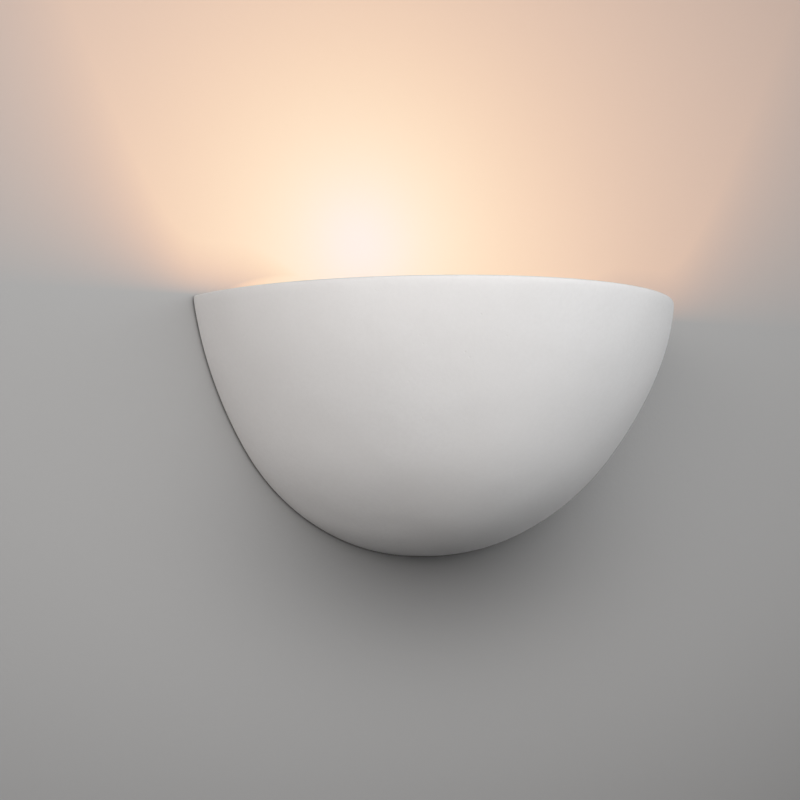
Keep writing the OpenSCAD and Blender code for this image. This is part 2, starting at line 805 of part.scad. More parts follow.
// --- lamp ------------------------------------------------------------------

// Puts children on the lamp's axis with its tip at z = 0
module at_lamp() { translate([0, -lamp_out, lamp_z]) children(); }

module lamp_globe() {
    color("white") at_lamp() difference() {
        translate([0, 0, globe_z]) sphere(d = globe_dia);
        translate([0, 0, globe_z]) sphere(d = globe_dia - 2 * globe_t);
        translate([0, 0, globe_foot - globe_dia]) cylinder(d = 2 * globe_dia, h = globe_dia);
    }
}

module lamp_board() {
    color("white") at_lamp() translate([0, 0, globe_foot]) cylinder(r = board_r, h = board_t);
}

module lamp_leds() {
    ring = 9;
    color("khaki") at_lamp() for (i = [0:7])
        rotate([0, 0, i * 45]) translate([ring, 0, globe_foot + board_t + 0.4])
            cube([3, 3, 0.8], center = true);
}

module lamp_housing() {
    foot_r = cap_dia / 2 + 0.4;
    steps = 9;
    rise = globe_foot - cap_top;
    function swell(t) = (1 - cos(180 * t)) / 2;
    flare = [for (i = [0:steps])
        [foot_r + (globe_foot_r - foot_r) * swell(i / steps), cap_top + rise * i / steps]];
    color("white") at_lamp() rotate_extrude()
        polygon(concat([[0, cap_top]], flare, [[0, globe_foot]]));
}

// Screw cap with its thread as rounded rings, below a plain collar
module lamp_cap() {
    foot = tip_h + insulator_h - 1;
    collar = 4;
    crest_r = thread_pitch / 3;
    root_r = cap_dia / 2 - thread_depth;
    rings = floor((cap_top - collar - foot - crest_r) / thread_pitch);
    color("silver") at_lamp() rotate_extrude() {
        polygon([
            [0, foot], [root_r - thread_depth, foot], [root_r, foot + thread_depth],
            [root_r, cap_top], [0, cap_top]
        ]);
        for (i = [1:rings])
            translate([cap_dia / 2 - crest_r, cap_top - collar + crest_r - i * thread_pitch])
                circle(r = crest_r);
        translate([0, cap_top - collar]) square([cap_dia / 2, collar]);
    }
}

module lamp_insulator() {
    color("black") at_lamp() translate([0, 0, tip_h])
        cylinder(d1 = 11, d2 = cap_dia - 4, h = insulator_h - 1);
}

module lamp_tip() {
    color("silver") at_lamp() cylinder(d1 = tip_dia - tip_h, d2 = tip_dia, h = tip_h);
}

shade();
stud_washers();
thumb_nut_left();
thumb_nut_right();
wall_bracket();
shade_studs();
cable_bushing();
terminal_block();
terminal_clamps();
terminal_screws();
block_screw();
earth_lug();
earth_washer();
earth_screw();
holder_arm();
arm_rivets();
holder_porcelain();
holder_shell();
holder_centre_contact();
holder_rivets();
holder_terminals();
holder_terminal_screws();
holder_screws();
live_wire();
neutral_wire();
earth_wire();
wire_ferrules();
lamp_globe();
lamp_board();
lamp_leds();
lamp_housing();
lamp_cap();
lamp_insulator();
lamp_tip();
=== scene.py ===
"""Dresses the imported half-bowl uplighter for its picture: camera, wall and floor, lights,
materials, and the pieces whose fine form goes past the CAD solids. Metres, in the part's frame."""
import math

import bmesh
import bpy
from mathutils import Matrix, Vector


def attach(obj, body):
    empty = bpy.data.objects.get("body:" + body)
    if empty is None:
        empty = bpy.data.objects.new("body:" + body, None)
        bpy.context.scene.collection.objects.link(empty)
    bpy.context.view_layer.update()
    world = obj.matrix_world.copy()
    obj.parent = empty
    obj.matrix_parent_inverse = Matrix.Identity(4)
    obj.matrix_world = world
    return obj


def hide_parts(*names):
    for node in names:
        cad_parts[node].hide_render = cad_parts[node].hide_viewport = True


# Camera: where it stands, and which way it looks
CAMERA_AT = (-0.8263, -1.5992, -0.1499)
CAMERA_YAW = 0.4711
CAMERA_PITCH = 0.0802
CAMERA_LENS = 132.2
SENSOR = 36.0

# Levels of the part's rim and of the floor, and how far from the wall the lamp's middle stands
RIM_Z = 0.052
LAMP_OUT = 0.062
FLOOR_Z = -1.35
# The stage: half width and top of the wall, how far it stands off the part's back, and half
# width of the floor
WALL_HALF, WALL_TOP, WALL_OUT = 3.0, 2.2, 0.0002
FLOOR_HALF = 6.0

# The wall's grey at the origin, painted light that drifts along X and Z, and the painted soft
# shadow that gathers under the part
WALL_GREY = 0.384
WALL_LIGHT_DRIFT = {"x": -0.220, "z": 0.645, "xx": -0.955, "zz": -2.247}
WALL_LIGHT_DRIFT_REACH = 0.30
SHADOW_DEPTH = 0.604
SHADOW_X, SHADOW_Z = 0.008, -0.095
SHADOW_WIDE, SHADOW_HIGH = 0.110, 0.064
# Painted contact shade in the gap behind the part: how far out it shows, how much light it leaves
GAP_SHADE_REACH, GAP_SHADE_LIGHT = 0.0023, 0.28

# The lamp's glow painted on the wall: its middle, how it spreads, and where the rim cuts it off
GLOW_X, GLOW_Z, GLOW_SOFT = -0.0389, 0.0878, 0.0436
GLOW_REACH = 0.20
GLOW_FALL = 1.377
GLOW_TOP = (0.585, 0.436, 2.0)
GLOW_RATE = (1.0315, 0.493, 0.0252)
CUT_HALF, CUT_MIDDLE, CUT_SLOPE, CUT_POWER = 0.1616, 0.0157, 2.362, 0.918
# The rim's painted shadow is CUT_EDGE deep in the middle and CUT_SOFT at the two corners, and it
# changes between CUT_NEAR and CUT_FAR; CUT_CORNER rounds its turn at the corners
CUT_EDGE, CUT_SOFT, CUT_NEAR, CUT_FAR, CUT_CORNER = 0.0015, 0.0332, 0.060, 0.135, 0.0325
# Half width and depth of the painted lit patch of wall inside the bowl, how far above the rim it
# ends, and where its soft edge starts
INSIDE_WIDE, INSIDE_DEEP, INSIDE_RISE, INSIDE_EDGE = 0.139, 0.141, 0.030, 0.50

# The studio's light: a soft band a little above the part's level, strongest in front and to
# the left, where it is also a little warmer, with weaker light from above and from behind
BAND_STRENGTH = 3.40
BAND_LEVEL, BAND_WIDTH = 0.200, 0.30
BAND_SPREAD, BAND_FOCUS, BAND_TURN = 0.246, 2.0, -0.351
WARM_LEFT = (1.0, 0.93, 0.88)
WARM_GAIN, WARM_FROM = -1.6, 0.4
TOP_STRENGTH, TOP_FROM, TOP_SPAN = 0.15, 0.5, 0.4
BACK_STRENGTH, BACK_GAIN = 0.62, 2.0
BACKDROP = 0.72
WHITE = (1.0, 1.0, 1.0)
# The lamp's light inside the bowl: level and radius of its source, power and colour
GLOBE_Z, GLOBE_R, LAMP_POWER, LAMP_COLOUR = 0.012, 0.012, 0.10, (1.0, 0.74, 0.5)
# What the wall throws back on the part
WALL_BOUNCE = 0.16

# The bowl's sizes, as in the part: half width, projection, height and thickness, then the arcs
# of its side and the flat at its lowest point
HALF_WIDTH, PROJECTION, HEIGHT, THICK = 0.150, 0.176, 0.153, 0.007
SIDE_R, SIDE_LEAN, FLOOR_FLAT, WALL_GAP = 0.238, math.radians(9.7), 0.0045, 0.0012
LIP_R = THICK / 2
# How far below the rim the side turns upright, how tight the lip's two edges are, and how far
# the flat between them lies below the highest level of the part
UPRIGHT_FROM, LIP_EDGE, LIP_DROP = 0.006, 0.0014, 0.0006
# The outer side's lean just under the rim, and how far it stays inside the part's half width
RIM_LEAN, RIM_SPARE = 0.09, 0.00002
# How far the cast surface draws in between front and side, at four levels from rim to floor
DRAW_IN = (0.0013, -0.0047, 0.0087, 0.0041)
DRAW_IN_REACH = 0.070
# Rounding of the back edge, outside and inside
BACK_EDGE, BACK_EDGE_INSIDE = 0.0013, 0.0008
# The lugs and their stud holes
STUD_DROP, STUD_INSET, LUG_H, LUG_T, LUG_BACK = 0.052, 0.029, 0.034, 0.011, 0.0016
SEAT_T, SEAT_R, STUD_HOLE_R, LUG_EDGE = 0.0015, 0.010, 0.003, 0.0012
# How far the seat is sunk in its lug, its edge, and how far the hole's cutter stands out
SEAT_SINK, SEAT_EDGE, HOLE_SPARE = 0.002, 0.0005, 0.004
# An edge sharper than this, in degrees, stays sharp: on the cast shade, and on turned metal and
# wire
CAST_ANGLE, TURNED_ANGLE = 32.0, 50.0

# The lamp's screw cap: levels above the lamp's tip, radii and pitch, as in the part
LAMP_Z = -0.05586
CAP_FOOT, CAP_TOP, CAP_COLLAR = 0.006, 0.026, 0.004
CAP_R, CAP_ROOT_R, CAP_PITCH = 0.0132, 0.0122, 0.0036
# Heights over which the thread starts and ends, where it ends below the collar, and over which
# the collar rises
THREAD_IN, THREAD_OUT, THREAD_END, COLLAR_IN = 0.002, 0.0018, 0.002, 0.0008

# The wires: where they leave the terminal block, and where each one ends, as in the part
WIRE_R, WIRE_OUT, BLOCK_FOOT, WIRE_LEVEL = 0.0013, 0.0065, -0.0331, -0.06766
POLES = (-0.005, 0.005, 0.015)
HOLDER_ENTRY, LIVE_END, NEUTRAL_END = 0.040, 0.0674, 0.0494
EARTH_X, BARREL_OUT, BARREL_FOOT, EARTH_SAG = 0.028, 0.0035, -0.035, 0.014
# How far a wire runs straight from the block, how much of its drop its curve holds back, how far
# the earth wire's curve ends below its barrel and the wire ends inside it, how much lower the
# curve's far side hangs, and how many of the wire's sides its stripe takes
WIRE_STRAIGHT, WIRE_PULL = 0.002, 0.8
BARREL_BELOW, BARREL_IN, EARTH_TILT, EARTH_STRIPE = 0.001, 0.0039, 0.00001, 9

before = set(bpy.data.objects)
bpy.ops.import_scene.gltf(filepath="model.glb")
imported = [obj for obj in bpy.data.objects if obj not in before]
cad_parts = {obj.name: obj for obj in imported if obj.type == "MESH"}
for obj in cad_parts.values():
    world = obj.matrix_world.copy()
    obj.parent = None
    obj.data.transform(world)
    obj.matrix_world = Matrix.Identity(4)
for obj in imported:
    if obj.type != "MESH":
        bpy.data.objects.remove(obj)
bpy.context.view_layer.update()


# --- camera and stage --------------------------------------------------------

def make_camera():
    data = bpy.data.cameras.new("camera")
    data.lens = CAMERA_LENS
    data.sensor_width = SENSOR
    data.clip_end = 50.0
    cam = bpy.data.objects.new("camera", data)
    cam.location = CAMERA_AT
    cam.rotation_euler = (math.pi / 2 + CAMERA_PITCH, 0.0, -CAMERA_YAW)
    bpy.context.scene.collection.objects.link(cam)
    bpy.context.scene.camera = cam


def plane_object(name, corners):
    mesh = bpy.data.meshes.new(name)
    mesh.from_pydata(corners, [], [(0, 1, 2, 3)])
    obj = bpy.data.objects.new(name, mesh)
    bpy.context.scene.collection.objects.link(obj)
    return obj


# --- node helpers ------------------------------------------------------------

class Nodes:
    """A material's node tree, with one short call for each kind of node used here."""

    def __init__(self, name, **principled):
        self.mat = bpy.data.materials.new(name)
        self.mat.use_nodes = True
        self.tree = self.mat.node_tree
        self.tree.nodes.clear()
        self.out = self.tree.nodes.new("ShaderNodeOutputMaterial")
        self.bsdf = self.tree.nodes.new("ShaderNodeBsdfPrincipled")
        self.link(self.bsdf.outputs[0], self.out.inputs["Surface"])
        self.set(**principled)

    def set(self, **values):
        for key, value in values.items():
            self.bsdf.inputs[key.replace("_", " ")].default_value = value

    def link(self, a, b):
        self.tree.links.new(a, b)

    def place(self):
        return self.tree.nodes.new("ShaderNodeTexCoord").outputs["Object"]

    def split(self, vector):
        node = self.tree.nodes.new("ShaderNodeSeparateXYZ")
        self.link(vector, node.inputs[0])
        return node.outputs

    def math(self, op, a, b=None, c=None, clamp=False):
        node = self.tree.nodes.new("ShaderNodeMath")
        node.operation = op
        node.use_clamp = clamp
        for socket, value in zip(node.inputs, (a, b, c)):
            if value is None:
                continue
            if isinstance(value, (int, float)):
                socket.default_value = value
            else:
                self.link(value, socket)
        return node.outputs[0]

    def noise(self, scale, detail=3.0, rough=0.5, stretch=(1, 1, 1), shift=0.0):
        turn = self.tree.nodes.new("ShaderNodeMapping")
        turn.inputs["Scale"].default_value = stretch
        turn.inputs["Location"].default_value = (shift, shift, shift)
        self.link(self.place(), turn.inputs[0])
        node = self.tree.nodes.new("ShaderNodeTexNoise")
        node.inputs["Scale"].default_value = scale
        node.inputs["Detail"].default_value = detail
        node.inputs["Roughness"].default_value = rough
        self.link(turn.outputs[0], node.inputs["Vector"])
        return node.outputs["Fac"]

    def cells(self, scale, feature="F1"):
        node = self.tree.nodes.new("ShaderNodeTexVoronoi")
        node.feature = feature
        node.inputs["Scale"].default_value = scale
        self.link(self.place(), node.inputs["Vector"])
        return node

    def between(self, fac, low, high, out_low=0.0, out_high=1.0):
        node = self.tree.nodes.new("ShaderNodeMapRange")
        node.interpolation_type = "SMOOTHSTEP"
        for socket, value in zip(list(node.inputs)[1:5], (low, high, out_low, out_high)):
            if isinstance(value, (int, float)):
                socket.default_value = value
            else:
                self.link(value, socket)
        self.link(fac, node.inputs[0])
        return node.outputs[0]

    def blend(self, fac, a, b):
        """Mixes two colours by fac; each is a colour or another node's output."""
        node = self.tree.nodes.new("ShaderNodeMix")
        node.data_type = "RGBA"
        if isinstance(fac, (int, float)):
            node.inputs[0].default_value = fac
        else:
            self.link(fac, node.inputs[0])
        for socket, value in ((node.inputs[6], a), (node.inputs[7], b)):
            if isinstance(value, tuple):
                socket.default_value = (*value, 1.0)
            else:
                self.link(value, socket)
        return node.outputs[2]

    def colour(self, output):
        self.link(output, self.bsdf.inputs["Base Color"])

    def rough(self, fac, low, high):
        self.link(self.between(fac, 0.3, 0.7, low, high), self.bsdf.inputs["Roughness"])

    def bump(self, *layers):
        """Lays bumps over each other: each layer is a height and its depth in metres."""
        last = None
        for height, depth in layers:
            node = self.tree.nodes.new("ShaderNodeBump")
            node.inputs["Strength"].default_value = 1.0
            node.inputs["Distance"].default_value = depth
            self.link(height, node.inputs["Height"])
            if last:
                self.link(last, node.inputs["Normal"])
            last = node.outputs[0]
        self.link(last, self.bsdf.inputs["Normal"])


# --- materials ---------------------------------------------------------------

def plaster():
    n = Nodes("plaster", Roughness=0.7, IOR=1.45, Specular_IOR_Level=0.35)
    cloud = n.noise(9.0, 4.0, 0.55)
    fine = n.noise(420.0, 3.0, 0.6, shift=3.1)
    tone = n.between(cloud, 0.35, 0.65)
    warm = n.blend(tone, (0.795, 0.793, 0.796), (0.824, 0.826, 0.832))
    n.colour(n.blend(n.between(fine, 0.3, 0.75, 0.0, 0.35), warm, (0.765, 0.764, 0.766)))
    n.rough(fine, 0.62, 0.78)
    pits = n.cells(170.0)
    rare = n.noise(60.0, 2.0, 0.5, shift=7.7)
    hole = n.math("MULTIPLY", n.between(pits.outputs["Distance"], 0.05, 0.14, 1.0, 0.0),
                  n.between(rare, 0.58, 0.66))
    n.bump((n.noise(24.0, 2.0, 0.5, shift=1.3), 0.0012), (fine, 0.00006),
           (n.noise(1500.0, 2.0, 0.5), 0.00003), (n.math("SUBTRACT", 1.0, hole), 0.00012))
    return n.mat


def zinc_steel():
    n = Nodes("zinc_steel", Metallic=1.0, Roughness=0.38)
    grain = n.cells(160.0)
    spangle = n.noise(45.0, 3.0, 0.6)
    scuff = n.noise(90.0, 5.0, 0.65, stretch=(1, 8, 8), shift=2.0)
    tone = n.math("ADD", n.math("MULTIPLY", spangle, 0.6), n.math("MULTIPLY", scuff, 0.4))
    n.colour(n.blend(n.between(tone, 0.35, 0.65), (0.50, 0.52, 0.55), (0.66, 0.66, 0.65)))
    n.rough(scuff, 0.28, 0.46)
    n.bump((grain.outputs["Distance"], 0.00003), (n.noise(900.0, 2.0), 0.00001))
    return n.mat


def bright_metal(name, low, high, rough_low, rough_high, ring_scale):
    """Turned or plated metal: low and high are its darker and lighter tones."""
    n = Nodes(name, Metallic=1.0)
    smear = n.noise(140.0, 3.0, 0.6)
    fine = n.noise(ring_scale, 3.0, 0.6, shift=5.0)
    n.colour(n.blend(n.between(smear, 0.3, 0.7), low, high))
    n.rough(fine, rough_low, rough_high)
    n.bump((fine, 0.000008))
    return n.mat


def porcelain():
    n = Nodes("porcelain", IOR=1.5, Coat_Weight=0.6, Coat_Roughness=0.06)
    cloud = n.noise(60.0, 3.0, 0.5)
    speck = n.noise(1400.0, 1.0, 0.5, shift=4.0)
    body = n.blend(n.between(cloud, 0.35, 0.65), (0.80, 0.785, 0.74), (0.845, 0.835, 0.80))
    n.colour(n.blend(n.between(speck, 0.72, 0.78), body, (0.52, 0.46, 0.38)))
    n.rough(cloud, 0.14, 0.24)
    n.bump((n.noise(80.0, 2.0), 0.0002))
    return n.mat


def moulded(name, low, high, rough_low, rough_high, scale=600.0, depth=0.00003, **more):
    """Moulded plastic or rubber with a slight grain and uneven tone."""
    n = Nodes(name, **more)
    tone = n.noise(70.0, 3.0, 0.5)
    grain = n.noise(scale, 3.0, 0.6, shift=2.5)
    n.colour(n.blend(n.between(tone, 0.35, 0.65), low, high))
    n.rough(grain, rough_low, rough_high)
    n.bump((grain, depth))
    return n.mat


def opal_globe():
    n = Nodes("opal_globe", IOR=1.49, Emission_Strength=0.60)
    n.bsdf.inputs["Emission Color"].default_value = (1.0, 0.80, 0.58, 1.0)
    haze = n.noise(45.0, 3.0, 0.5)
    n.colour(n.blend(n.between(haze, 0.35, 0.65), (0.52, 0.50, 0.47), (0.56, 0.545, 0.52)))
    n.rough(haze, 0.18, 0.28)
    n.bump((n.noise(35.0, 1.0), 0.0001))
    return n.mat


def led_yellow():
    n = Nodes("led_yellow", Emission_Strength=0.5, IOR=1.5)
    n.bsdf.inputs["Emission Color"].default_value = (1.0, 0.72, 0.25, 1.0)
    tone = n.noise(900.0, 2.0)
    n.colour(n.blend(tone, (0.80, 0.62, 0.12), (0.88, 0.72, 0.22)))
    n.rough(tone, 0.3, 0.5)
    return n.mat


def wall_grey_with_painted_shade(n, x, z):
    """The wall's grey with painted light that drifts from one side of the picture to the other,
    and a painted soft shadow under the part.
    """
    # Painted light: the wall's grey drifts lighter and darker along X and Z
    across = n.math("MINIMUM", n.math("MAXIMUM", x, -WALL_LIGHT_DRIFT_REACH), WALL_LIGHT_DRIFT_REACH)
    height = n.math("MINIMUM", n.math("MAXIMUM", z, -WALL_LIGHT_DRIFT_REACH), WALL_LIGHT_DRIFT_REACH)
    total = 1.0
    for value, key in ((across, "x"), (height, "z")):
        square = n.math("MULTIPLY", n.math("MULTIPLY", value, value), WALL_LIGHT_DRIFT[key * 2])
        slope = n.math("MULTIPLY", value, WALL_LIGHT_DRIFT[key])
        total = n.math("ADD", total, n.math("ADD", slope, square))
    # Painted shadow: a soft dark patch on the wall under the part
    wide = n.math("POWER", n.math("DIVIDE", n.math("SUBTRACT", x, SHADOW_X), SHADOW_WIDE), 2.0)
    high = n.math("POWER", n.math("DIVIDE", n.math("SUBTRACT", z, SHADOW_Z), SHADOW_HIGH), 2.0)
    shade = n.math("EXPONENT", n.math("MULTIPLY", n.math("ADD", wide, high), -1.0))
    shade = n.math("SUBTRACT", 1.0, n.math("MULTIPLY", shade, SHADOW_DEPTH))
    return n.math("MULTIPLY", n.math("MULTIPLY", total, WALL_GREY), shade)


def painted_lamp_glow(n, x, z):
    """The lamp's warm light painted on the wall above the rim, and the rim's painted soft shadow
    beside it.
    """
    off_x = n.math("POWER", n.math("SUBTRACT", x, GLOW_X), 2.0)
    off_z = n.math("POWER", n.math("SUBTRACT", z, GLOW_Z), 2.0)
    reach = n.math("SQRT", n.math("ADD", n.math("ADD", off_x, off_z), GLOW_SOFT ** 2))
    light = n.math("POWER", n.math("DIVIDE", reach, GLOW_REACH), -GLOW_FALL)
    # Painted shadow of the rim beside the bowl, softer further out
    aside = n.math("ABSOLUTE", n.math("SUBTRACT", x, CUT_MIDDLE))
    beside = n.math("SUBTRACT", aside, CUT_HALF)
    soft = n.between(aside, CUT_NEAR, CUT_FAR, CUT_EDGE, CUT_SOFT)
    out = n.math("POWER", n.math("MAXIMUM", beside, 0.0), 2.0)
    out = n.math("SUBTRACT", n.math("SQRT", n.math("ADD", out, CUT_CORNER ** 2)), CUT_CORNER)
    ramp = n.math("MULTIPLY_ADD", out, CUT_SLOPE, soft)
    level = n.math("SUBTRACT", z, RIM_Z)
    clear = n.math("DIVIDE", level, ramp, clamp=True)
    # Painted lit patch of wall inside the bowl, below the rim
    wide = n.math("POWER", n.math("DIVIDE", x, INSIDE_WIDE), 2.0)
    down = n.math("POWER", n.math("DIVIDE", n.math("MINIMUM", level, 0.0), INSIDE_DEEP), 2.0)
    up = n.math("POWER", n.math("DIVIDE", n.math("MAXIMUM", level, 0.0), INSIDE_RISE), 2.0)
    inside = n.between(n.math("ADD", wide, n.math("ADD", down, up)), INSIDE_EDGE, 1.0, 1.0, 0.0)
    light = n.math("MULTIPLY", light, n.math("MAXIMUM", n.math("POWER", clear, CUT_POWER), inside))
    colour = n.tree.nodes.new("ShaderNodeCombineColor")
    for socket, top, rate in zip(colour.inputs, GLOW_TOP, GLOW_RATE):
        fade = n.math("EXPONENT", n.math("MULTIPLY", light, -rate))
        n.link(n.math("MULTIPLY", n.math("SUBTRACT", 1.0, fade), top), socket)
    return colour.outputs[0]


def wall_paint():
    """The wall: matt grey paint with painted light, shade and the lamp's painted glow, seen only by
    the camera. Seen from its back it isn't there at all, so the part's back shows and is lit."""
    n = Nodes("wall_paint", Roughness=0.85, Specular_IOR_Level=0.2)
    x, _, z = n.split(n.place())
    # Painted contact shade: the wall's colour darkens where the part's edge is close, by occlusion
    gap = n.tree.nodes.new("ShaderNodeAmbientOcclusion")
    gap.inputs["Distance"].default_value = GAP_SHADE_REACH
    lit = n.between(gap.outputs["AO"], 0.35, 0.95, GAP_SHADE_LIGHT, 1.0)
    # The wall's grey, with its painted drift, painted shadow and painted contact shade
    tone = n.math("MULTIPLY", wall_grey_with_painted_shade(n, x, z), lit)
    path = n.tree.nodes.new("ShaderNodeLightPath")
    seen = path.outputs["Is Camera Ray"]
    shown = n.between(seen, 0.0, 1.0, WALL_BOUNCE, tone)
    grey = n.tree.nodes.new("ShaderNodeCombineColor")
    for socket in grey.inputs:
        n.link(shown, socket)
    n.colour(grey.outputs[0])
    n.bump((n.noise(260.0, 3.0, 0.6), 0.00012))
    # The lamp's painted glow: emission on the wall, for camera rays only
    n.link(painted_lamp_glow(n, x, z), n.bsdf.inputs["Emission Color"])
    n.link(seen, n.bsdf.inputs["Emission Strength"])
    back = n.tree.nodes.new("ShaderNodeNewGeometry").outputs["Backfacing"]
    gone = n.math("MAXIMUM", back, n.math("MINIMUM", path.outputs["Transparent Depth"], 1.0))
    clear = n.tree.nodes.new("ShaderNodeBsdfTransparent")
    mix = n.tree.nodes.new("ShaderNodeMixShader")
    n.link(gone, mix.inputs[0])
    n.link(n.bsdf.outputs[0], mix.inputs[1])
    n.link(clear.outputs[0], mix.inputs[2])
    n.link(mix.outputs[0], n.out.inputs["Surface"])
    return n.mat


def floor_paint():
    n = Nodes("floor_paint", Roughness=0.8)
    n.colour(n.blend(n.noise(2.0, 2.0), (0.70, 0.70, 0.69), (0.74, 0.74, 0.73)))
    return n.mat


# --- stage -------------------------------------------------------------------

def make_wall():
    corners = ((-WALL_HALF, FLOOR_Z), (WALL_HALF, FLOOR_Z), (WALL_HALF, WALL_TOP),
               (-WALL_HALF, WALL_TOP))
    wall = plane_object("wall", [(x, WALL_OUT, z) for x, z in corners])
    wall.data.materials.append(wall_paint())
    return wall


def make_floor():
    floor = plane_object("floor", [(x * FLOOR_HALF, y * FLOOR_HALF, FLOOR_Z)
                                   for x, y in ((-1, -1), (1, -1), (1, 1), (-1, 1))])
    floor.data.materials.append(floor_paint())
    floor.visible_diffuse = False
    floor.visible_shadow = False


def lamp_light(name, at, radius, energy, colour, misses):
    data = bpy.data.lights.new(name, "POINT")
    data.shadow_soft_size = radius
    data.energy = energy
    data.color = colour
    light = bpy.data.objects.new(name, data)
    light.location = at
    bpy.context.scene.collection.objects.link(light)
    unlit = bpy.data.collections.new(name + "_misses")
    unlit.objects.link(misses)
    unlit.collection_objects[0].light_linking.link_state = "EXCLUDE"
    light.light_linking.receiver_collection = unlit


def make_lights(wall):
    """The lamp's own light, inside the bowl; the wall's share of it is in the wall's paint."""
    lamp_light("glow", (0.0, -LAMP_OUT, GLOBE_Z), GLOBE_R, LAMP_POWER, LAMP_COLOUR, wall)


class Sky(Nodes):
    """The world's node tree, with the same short calls as a material's."""

    def __init__(self, world):
        world.use_nodes = True
        self.tree = world.node_tree
        self.back = self.tree.nodes["Background"]

    def direction(self):
        return self.split(self.tree.nodes.new("ShaderNodeTexCoord").outputs["Generated"])


def studio_light(n, x, y, z):
    """How strong the studio's light is in each direction."""
    off_level = n.math("DIVIDE", n.math("SUBTRACT", z, BAND_LEVEL), BAND_WIDTH)
    band = n.math("EXPONENT", n.math("MULTIPLY", n.math("MULTIPLY", off_level, off_level), -1.0))
    azimuth = n.math("ARCTAN2", x, n.math("MULTIPLY", y, -1.0))
    facing = n.math("COSINE", n.math("SUBTRACT", azimuth, BAND_TURN))
    focus = n.math("EXPONENT", n.math("MULTIPLY", n.math("SUBTRACT", facing, 1.0), BAND_FOCUS))
    front = n.math("MULTIPLY", band, n.math("ADD", focus, BAND_SPREAD))
    front = n.math("MULTIPLY", front, BAND_STRENGTH)
    high = n.math("DIVIDE", n.math("SUBTRACT", z, TOP_FROM), TOP_SPAN, clamp=True)
    top = n.math("MULTIPLY", high, TOP_STRENGTH)
    behind = n.math("MULTIPLY", n.math("MULTIPLY", y, BACK_GAIN, clamp=True), BACK_STRENGTH)
    return n.math("ADD", front, n.math("ADD", top, behind))


def make_world():
    """The studio's light, and the plain pale backdrop that the camera sees instead of it."""
    world = bpy.data.worlds.new("studio")
    bpy.context.scene.world = world
    n = Sky(world)
    x, y, z = n.direction()
    seen = n.tree.nodes.new("ShaderNodeLightPath").outputs["Is Camera Ray"]
    strength = n.between(seen, 0.0, 1.0, studio_light(n, x, y, z), BACKDROP)
    n.link(strength, n.back.inputs["Strength"])
    left = n.math("SUBTRACT", n.math("MULTIPLY", x, WARM_GAIN), WARM_FROM, clamp=True)
    n.link(n.blend(seen, n.blend(left, WHITE, WARM_LEFT), WHITE), n.back.inputs["Color"])


# --- the cast shade ----------------------------------------------------------

class Bowl:
    """Cross-section of the bowl: two arcs, a tight lip and a flat floor, below the rim's plane."""

    def __init__(self):
        lip_x = HALF_WIDTH - LIP_R
        rise = SIDE_R - LIP_R
        self.side = (lip_x - rise * math.cos(SIDE_LEAN), rise * math.sin(SIDE_LEAN) - LIP_R)
        gap = SIDE_R - HEIGHT - self.side[1]
        self.low_r = (SIDE_R ** 2 - (FLOOR_FLAT - self.side[0]) ** 2
                      - (HEIGHT + self.side[1]) ** 2) / (2 * gap)
        self.low = (FLOOR_FLAT, self.low_r - HEIGHT)
        self.ratio = PROJECTION / HALF_WIDTH

    def half_width(self, z, inset):
        part = (SIDE_R - inset) / (SIDE_R - self.low_r)
        if z > self.side[1] + (self.low[1] - self.side[1]) * part:
            (x, level), radius = self.side, SIDE_R - inset
        else:
            (x, level), radius = self.low, self.low_r - inset
        return x + math.sqrt(max(radius ** 2 - (z - level) ** 2, 0.0))

    def surface(self, inset, top_x, top_z, count=160):
        """Half widths and levels from the middle of the floor up to the lip."""
        points = [(0.0, inset - HEIGHT)]
        start, end = inset - HEIGHT + 1e-7, -UPRIGHT_FROM
        for i in range(count + 1):
            z = start + (end - start) * (1 - math.cos(math.pi / 2 * i / count))
            points.append((self.half_width(z, inset), z))
        (x0, z0), (x1, z1) = points[-2], points[-1]
        knee = (top_x, z1 + (top_x - x1) * (z1 - z0) / (x1 - x0))
        for i in range(1, 9):
            f = i / 8
            a, b, c = (1 - f) ** 2, 2 * f * (1 - f), f * f
            points.append((a * x1 + b * knee[0] + c * top_x, a * z1 + b * knee[1] + c * top_z))
        return points

    def lip(self, outer_x, inner_x, steps=6):
        """The lip's round edges and its flat top, with the outward direction at each point."""
        points = []
        for x, turn in ((outer_x - LIP_EDGE, 0.0), (inner_x + LIP_EDGE, math.pi / 2)):
            for i in range(steps + 1):
                a = turn + math.pi / 2 * i / steps
                points.append((x + LIP_EDGE * math.cos(a), LIP_EDGE * (math.sin(a) - 1) - LIP_DROP,
                               math.cos(a), math.sin(a)))
        return points


def level_at(points, x):
    """Level of a surface at half width x."""
    lo, hi = 0, len(points) - 1
    while hi - lo > 1:
        mid = (lo + hi) // 2
        if points[mid][0] > x:
            hi = mid
        else:
            lo = mid
    (x0, z0), (x1, z1) = points[lo], points[hi]
    f = min(max((x - x0) / max(x1 - x0, 1e-12), 0.0), 1.0)
    return z0 + (z1 - z0) * f, (z1 - z0) / max(x1 - x0, 1e-9)


def rounding(y, radius):
    """How far a surface is drawn in, at the distance y from an edge rounded to the radius."""
    if y >= radius:
        return 0.0
    return radius - math.sqrt(max(radius ** 2 - (radius - y) ** 2, 0.0))


def drawn_in(x, y, z, ratio):
    """Where a point of the plain elliptical bowl lies once its corners are drawn in."""
    across = math.hypot(x, y / ratio)
    if across < 1e-6:
        return x, y
    u = min(max(-z / HEIGHT, 0.0), 1.0)
    a, b, c, d = DRAW_IN
    depth = a * (1 - u) ** 3 + 3 * b * u * (1 - u) ** 2 + 3 * c * u * u * (1 - u) + d * u ** 3
    depth *= min(across / DRAW_IN_REACH, 1.0)
    twice = math.sin(2 * math.atan2(y / ratio, x))
    scale = 1 - depth / across * twice ** 2
    return x * scale, y * scale


